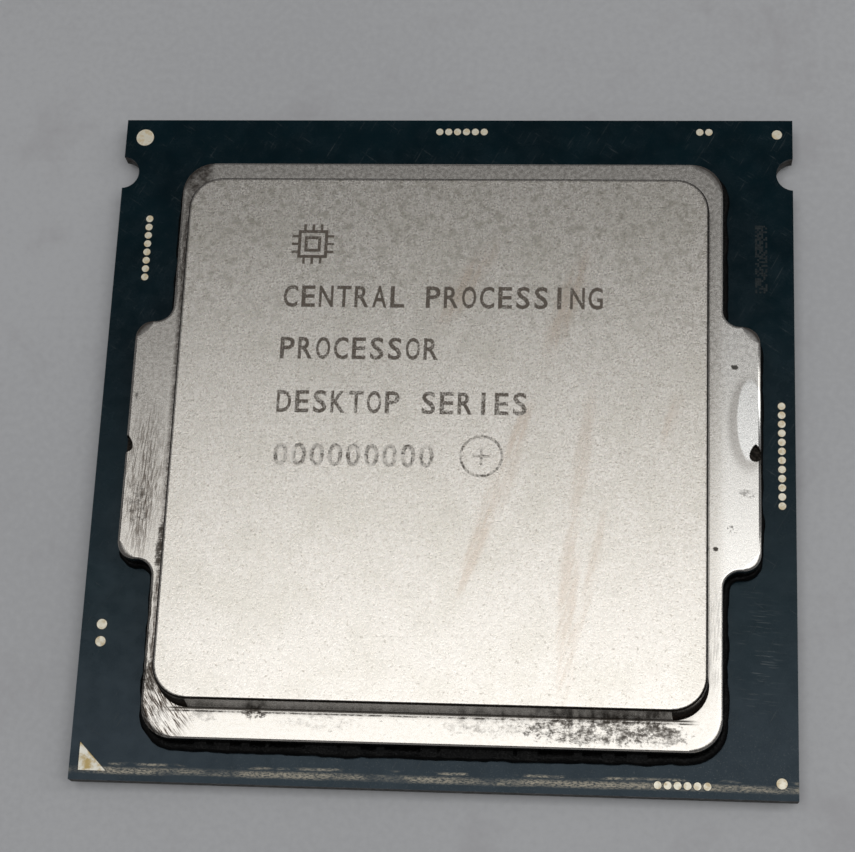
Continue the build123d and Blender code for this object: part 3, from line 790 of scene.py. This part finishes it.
for centre, half_run, half_width, turn, wanted in (
    ((1.3, 7.6), 4.2, 1.1, 59, 0.50), ((6.6, 6.4), 5.2, 1.0, 73, 0.50),
    ((4.3, -0.5), 2.6, 0.55, 70, 0.45), ((2.2, -7.0), 4.2, 0.6, 72, 0.45),
    ((7.0, -10.0), 7.4, 0.85, 88, 0.42), ((12.2, 0.2), 2.4, 0.6, 74, 0.35),
    ((3.4, -3.5), 5.0, 1.1, 70, 0.25), ((7.6, -2.0), 6.0, 0.7, 84, 0.30),
    ((8.2, -8.0), 5.5, 0.5, 80, 0.30),
):
    where = nearness(
        tree, place, (centre[0] * mm, centre[1] * mm, plateau_top),
        (half_run * mm, half_width * mm, 4 * mm), turn,
    )
    smear = sum_up(tree, "MULTIPLY", where, ease(tree, threads, 0.36, 0.60, 0.35, 1.0))
    satin = tint(tree, ease(tree, smear, 0.0, 0.7, 0.0, wanted), satin, (0.56, 0.45, 0.36))

scuffs = grain(tree, place, 0.20 * mm, 5, 0.65)
blotches = grain(tree, place, 0.24 * mm, 6, 0.75, stretch=(1.3, 1, 1))
soot_and_shade = (0.030, 0.024, 0.019)
ledge = tint(tree, ease(tree, scuffs, 0.34, 0.66), (0.62, 0.58, 0.53), (0.76, 0.72, 0.67))
# Painted shade and highlight: the flange is painted darker towards its left side, in the plateau's
# shade, and lighter towards its right side, which faces the lamp.
ledge = tint(tree, ease(tree, x, -14.0 * mm, -15.2 * mm, 0.0, 0.2), ledge, (0.34, 0.31, 0.28))
ledge = tint(tree, ease(tree, x, 14.4 * mm, 15.2 * mm, 0.0, 0.6), ledge, (0.93, 0.90, 0.86))
# Dark streaks on the flange: the faint one on the right is a scratch mark, while those along the left
# side and the left ear are painted shade laid on as streaks.
for turn, centre, reach, wanted, colour in (
    (-52, (-13.7, -15.6), (2.3, 2.1), 1.0, (0.075, 0.056, 0.044)),
    (-62, (-14.3, -14.4), (1.5, 3.0), 1.0, (0.05, 0.038, 0.03)),
    (85, (-15.7, -3.0), (1.8, 7.0), 0.75, (0.13, 0.105, 0.085)),
    (89, (-15.6, -4.0), (0.7, 5.0), 0.85, (0.10, 0.08, 0.065)),
    (90, (-14.45, -11.0), (0.9, 5.2), 0.95, (0.06, 0.05, 0.04)),
    (88, (-14.45, 9.5), (0.8, 5.0), 0.8, (0.09, 0.08, 0.07)),
    (86, (14.5, -11.0), (1.0, 4.5), 0.35, (0.20, 0.19, 0.18)),
):
    lines = grain(tree, place, 0.075 * mm, 3, 0.6, turn=turn, stretch=(11, 1, 1))
    where = near_on_flange(tree, place, centre, reach)
    cut = sum_up(
        tree, "MULTIPLY", ease(tree, lines, 0.44, 0.60), ease(tree, where, 0.05, 0.7, 0.0, wanted)
    )
    ledge = tint(tree, cut, ledge, colour)
# Painted shade: a blotchy dark strip along the left flange, beside the plateau's left wall.
left_strip_shade = sum_up(
    tree, "MULTIPLY",
    ease(tree, x, -14.75 * mm, -14.45 * mm), ease(tree, y, -13.9 * mm, -12.8 * mm),
    ease(tree, x, -13.0 * mm, -13.6 * mm),
)
ledge = tint(
    tree, sum_up(tree, "MULTIPLY", left_strip_shade, ease(tree, blotches, 0.34, 0.62, 0.25, 0.9)), ledge,
    (0.065, 0.05, 0.042),
)
for centre, reach, start, end, strength in (
    ((8.8, -15.7), (7.4, 1.5), 0.37, 0.60, 0.92),
    ((11.6, -15.9), (2.6, 1.0), 0.36, 0.50, 0.55),
    ((-9.0, -15.35), (1.2, 0.45), 0.40, 0.52, 0.9),
    ((-11.6, -15.5), (1.6, 0.7), 0.40, 0.62, 0.45),
    ((-5.5, -15.7), (4.5, 0.9), 0.44, 0.68, 0.40),
    ((3.5, -15.6), (6.5, 1.2), 0.40, 0.66, 0.50),
    ((-14.5, -6.6), (0.5, 2.2), 0.34, 0.50, 0.9),
    ((-14.4, -13.4), (0.8, 1.8), 0.36, 0.52, 0.8),
    ((-15.9, -4.4), (1.3, 2.6), 0.44, 0.64, 0.65),
    ((-16.3, 2.0), (0.9, 1.8), 0.50, 0.62, 0.7),
    ((-1.0, -15.9), (15.0, 1.4), 0.60, 0.70, 0.6),
    ((15.3, -5.2), (0.7, 0.7), 0.56, 0.62, 0.8),
    ((16.2, -3.2), (0.9, 0.5), 0.44, 0.60, 0.55),
    ((14.5, -6.2), (0.22, 0.17), 0.26, 0.40, 0.95),
    ((15.5, 3.7), (0.35, 0.25), 0.40, 0.48, 0.9),
):
    where = near_on_flange(tree, place, centre, reach)
    thinned = sum_up(tree, "ADD", blotches, ease(tree, where, 0.0, 0.8, -0.25, 0.0))
    flakes = ease(tree, thinned, start, end)
    here = ease(tree, where, 0.0, 0.3, 0.0, strength)
    ledge = tint(tree, sum_up(tree, "MULTIPLY", flakes, here), ledge, soot_and_shade)
halo = near_on_flange(tree, place, (16.2, 0.6), (1.5, 3.6))
ledge = tint(tree, ease(tree, halo, 0.05, 0.35, 0.0, 0.6), ledge, (0.40, 0.37, 0.34))
polished = near_on_flange(tree, place, (16.3, 0.8), (0.85, 2.7))
ledge = tint(tree, ease(tree, polished, 0.03, 0.14), ledge, (0.97, 0.95, 0.92))
lit_corner = sum_up(
    tree, "MULTIPLY",
    near_on_flange(tree, place, (-13.8, -15.7), (1.0, 0.8)),
    ease(tree, blotches, 0.36, 0.56, 0.2, 1.0),
)
ledge = tint(tree, ease(tree, lit_corner, 0.1, 0.6, 0.0, 0.35), ledge, (0.90, 0.86, 0.81))
# Painted shade: the rolled rim at the back corners and at the ears' back corners is painted dark,
# standing for the dark surroundings that the rounded edge reflects.
coined = ease(tree, z, flange_top - 0.012 * mm, flange_top - 0.05 * mm)
back_corner_shade = sum_up(
    tree, "MAXIMUM",
    near_on_flange(tree, place, (-14.2, 14.8), (2.2, 2.2)),
    near_on_flange(tree, place, (14.2, 14.8), (2.2, 2.2)),
    near_on_flange(tree, place, (-16.4, 5.6), (1.4, 1.4)),
    near_on_flange(tree, place, (16.4, 5.6), (1.4, 1.4)),
)
ledge = tint(
    tree, sum_up(tree, "MULTIPLY", coined, ease(tree, back_corner_shade, 0.05, 0.5, 0.25, 0.85)), ledge,
    (0.15, 0.12, 0.10),
)

# Painted shade: thin dark lines in the crease at the foot of the plateau's front wall, broken up by
# blotches, in the same colour as the soot flakes.
wall_foot_y = lid_centre_y - plateau_foot_y
foot_line = band(tree, y, wall_foot_y - 0.16 * mm, 0.02 * mm, 0.05 * mm)
foot_line = sum_up(tree, "MULTIPLY", foot_line, ease(tree, blotches, 0.40, 0.56, 0.2, 1.0))
foot_edge = band(tree, y, wall_foot_y - 0.02 * mm, 0.03 * mm, 0.04 * mm)
inside_walls = band(tree, x, 0.0, 13.0 * mm, 0.8 * mm)
foot_crease_shade = sum_up(tree, "MULTIPLY", sum_up(tree, "MAXIMUM", foot_line, foot_edge), inside_walls)
ledge = tint(tree, sum_up(tree, "MULTIPLY", foot_crease_shade, 0.92), ledge, soot_and_shade)

metal = tint(tree, on_top, ledge, satin)
# Painted shade: the plateau's walls and the flange's outer sides are the same nickel, painted near
# black to stand for the dark surroundings they reflect.
wall_painted_dark = tint(tree, ease(tree, scuffs, 0.4, 0.65), (0.010, 0.0075, 0.006), (0.036, 0.025, 0.018))
metal = tint(tree, on_wall, metal, wall_painted_dark)
side_painted_dark = tint(tree, ease(tree, scuffs, 0.4, 0.65), (0.008, 0.007, 0.006), (0.030, 0.025, 0.021))
metal = tint(tree, on_side, metal, side_painted_dark)
tree.links.new(metal, shader.inputs["Base Color"])
shader.inputs["Metallic"].default_value = 1.0
top_gloss = ease(tree, blast, 0.3, 0.7, 0.25, 0.34)
flange_gloss = ease(tree, scuffs, 0.3, 0.7, 0.23, 0.30)
gloss = tree.nodes.new("ShaderNodeMix")
feed(tree, gloss.inputs[0], on_top)
feed(tree, gloss.inputs[2], flange_gloss)
feed(tree, gloss.inputs[3], top_gloss)
tree.links.new(gloss.outputs[0], shader.inputs["Roughness"])
blast_depth = ease(tree, on_top, 0.0, 1.0, 0.3, 1.0)
lid_height = sum_up(
    tree, "ADD", sum_up(tree, "MULTIPLY", blast, blast_depth), sum_up(tree, "MULTIPLY", scuffs, 0.25)
)
emboss(tree, shader, lid_height, 0.007 * mm)

lid = keep_mesh("nickel_lid", bm, lid_finish)
for ear_side, inset in ((-1, 0.06), (1, 0.28)):
    bm = bmesh.new()
    bmesh.ops.create_cone(
        bm, cap_ends=True, segments=28, radius1=0.30 * mm, radius2=0.36 * mm, depth=0.8 * mm
    )
    for point in bm.verts:
        if point.co.y > 0:
            point.co.x *= 1 - (point.co.y / (0.36 * mm)) ** 2 * 0.55
            point.co.y *= 1.9
    at = (ear_side * (half_span - inset * mm), lid_centre_y - 0.5 * mm, flange_top)
    bmesh.ops.translate(bm, vec=at, verts=bm.verts)
    bmesh.ops.recalc_face_normals(bm, faces=bm.faces)
    cut_with(lid, keep_mesh("ear_punch", bm, lid_finish))
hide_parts("heat_spreader_lid")
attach(lid, "root")


# ---- Lid marking
# The lid is marked by a laser that browns the nickel in fine dots. The words here are plain
# generic ones, with a small chip pictogram and a plus in a ring, and the last line is faded.

mark_lift = 0.004 * mm
half_thick = 0.002 * mm
mark_top = plateau_top + mark_lift


def marking_finish(name, strength):
    """Speckled grey-brown strokes, where strength is how much of the nickel is browned."""
    finish, tree, shader, place = open_finish(name)
    blast, nickel = blasting(tree, place, (0.62, 0.57, 0.51), (0.87, 0.82, 0.765))
    burn = grain(tree, place, 0.085 * mm, 2, 0.7)
    patch = grain(tree, place, 0.6 * mm, 3)
    threshold = sum_up(tree, "ADD", burn, sum_up(tree, "MULTIPLY", patch, 0.5))
    browned = ease(tree, threshold, 0.88 - 0.40 * strength, 1.10 - 0.40 * strength)
    colour = tint(tree, browned, nickel, (0.155, 0.130, 0.108))
    tree.links.new(colour, shader.inputs["Base Color"])
    shader.inputs["Metallic"].default_value = 1.0
    tree.links.new(ease(tree, browned, 0.0, 1.0, 0.40, 0.50), shader.inputs["Roughness"])
    emboss(tree, shader, sum_up(tree, "ADD", blast, browned), 0.010 * mm)
    return finish


def write(name, words, left, base, height, pitch, weight, finish):
    """A line of plain lettering on a fixed pitch, flat on the plateau, from its lower left."""
    line = bmesh.new()
    for place_in_line, letter in enumerate(words):
        if letter == " ":
            continue
        curve = bpy.data.curves.new(name, "FONT")
        curve.body = letter
        curve.size = height / 0.729
        curve.resolution_u = 3
        curve.extrude = half_thick
        curve.offset = weight
        holder = bpy.data.objects.new(name, curve)
        bpy.context.scene.collection.objects.link(holder)
        bpy.context.view_layer.update()
        glyph = bpy.data.meshes.new_from_object(
            holder.evaluated_get(bpy.context.evaluated_depsgraph_get())
        )
        bpy.data.objects.remove(holder)
        glyph_left = min(v.co.x for v in glyph.vertices)
        glyph_width = max(v.co.x for v in glyph.vertices) - glyph_left
        squeeze = min(1.0, 0.80 * pitch / glyph_width)
        middle = left + (place_in_line + 0.5) * pitch
        glyph.transform(Matrix.Translation((-glyph_left - glyph_width / 2, 0, 0)))
        glyph.transform(Matrix.Diagonal((squeeze, 1, 1, 1)))
        glyph.transform(Matrix.Translation((middle, base, mark_top)))
        line.from_mesh(glyph)
    piece = keep_mesh(name, line, finish)
    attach(piece, "root")
    return piece


def ring(bm, centre_x, centre_y, radius, stroke):
    """A flat ring of one stroke's width."""
    section = [
        bm.verts.new((centre_x + radius + dx, centre_y, mark_top + dz))
        for dx, dz in (
            (-stroke / 2, -half_thick), (stroke / 2, -half_thick),
            (stroke / 2, half_thick), (-stroke / 2, half_thick),
        )
    ]
    loop = [bm.edges.new((section[i], section[(i + 1) % 4])) for i in range(4)]
    bmesh.ops.spin(
        bm, geom=section + loop, cent=(centre_x, centre_y, 0), axis=(0, 0, 1),
        angle=math.tau, steps=48, use_merge=True,
    )


def bar(bm, x0, y0, x1, y1):
    """A flat bar between two opposite corners."""
    place = Matrix.Translation(((x0 + x1) / 2, (y0 + y1) / 2, mark_top))
    bmesh.ops.create_cube(
        bm, size=1, matrix=place @ Matrix.Diagonal((abs(x1 - x0), abs(y1 - y0), 2 * half_thick, 1))
    )


mark_left = -8.59 * mm
line_base = {1: 6.2 * mm, 2: 3.28 * mm, 3: 0.3 * mm, 4: -2.6 * mm}
mark_strength = {1: 1.0, 2: 0.85, 3: 0.72, 4: 0.42}
line_finish = {
    line: marking_finish(f"laser_mark_{line}", strength) for line, strength in mark_strength.items()
}
letter_pitch = 0.955 * mm
for number, name, words in (
    (1, "mark_line_one", "CENTRAL PROCESSING"), (2, "mark_line_two", "PROCESSOR"),
    (3, "mark_line_three", "DESKTOP SERIES"), (4, "mark_line_four", "000000000"),
):
    write(
        name, words, mark_left, line_base[number], 1.25 * mm, letter_pitch, 0.026 * mm,
        line_finish[number],
    )

bm = bmesh.new()
stroke = 0.17 * mm
ring(bm, 2.38 * mm, -1.97 * mm, 1.07 * mm, 0.13 * mm)
bar(bm, 1.92 * mm, -2.04 * mm, 2.84 * mm, -1.90 * mm)
bar(bm, 2.31 * mm, -1.90 * mm, 2.45 * mm, -1.50 * mm)
bar(bm, 2.31 * mm, -2.44 * mm, 2.45 * mm, -2.04 * mm)
bmesh.ops.recalc_face_normals(bm, faces=bm.faces)
plus_ring = keep_mesh("mark_plus_ring", bm, line_finish[4])
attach(plus_ring, "root")

pictogram_centre = Vector((-7.1 * mm, 9.78 * mm))
bm = bmesh.new()
half_icon = 0.72 * mm
for half in (half_icon, 0.36 * mm):
    for side in (-1, 1):
        offset_x = pictogram_centre.x + side * half
        offset_y = pictogram_centre.y + side * half
        bar(bm, offset_x - stroke / 2, pictogram_centre.y - half - stroke / 2,
            offset_x + stroke / 2, pictogram_centre.y + half + stroke / 2)
        bar(bm, pictogram_centre.x - half + stroke / 2, offset_y - stroke / 2,
            pictogram_centre.x + half - stroke / 2, offset_y + stroke / 2)
for step in (-1, 0, 1):
    for side in (-1, 1):
        shift = step * 0.45 * mm
        near_end, far_end = half_icon + stroke / 2, half_icon + 0.42 * mm
        bar(bm, pictogram_centre.x + shift - 0.07 * mm, pictogram_centre.y + side * near_end,
            pictogram_centre.x + shift + 0.07 * mm, pictogram_centre.y + side * far_end)
        bar(bm, pictogram_centre.x + side * near_end, pictogram_centre.y + shift - 0.07 * mm,
            pictogram_centre.x + side * far_end, pictogram_centre.y + shift + 0.07 * mm)
bmesh.ops.recalc_face_normals(bm, faces=bm.faces)
pictogram = keep_mesh("mark_chip_pictogram", bm, line_finish[1])
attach(pictogram, "root")
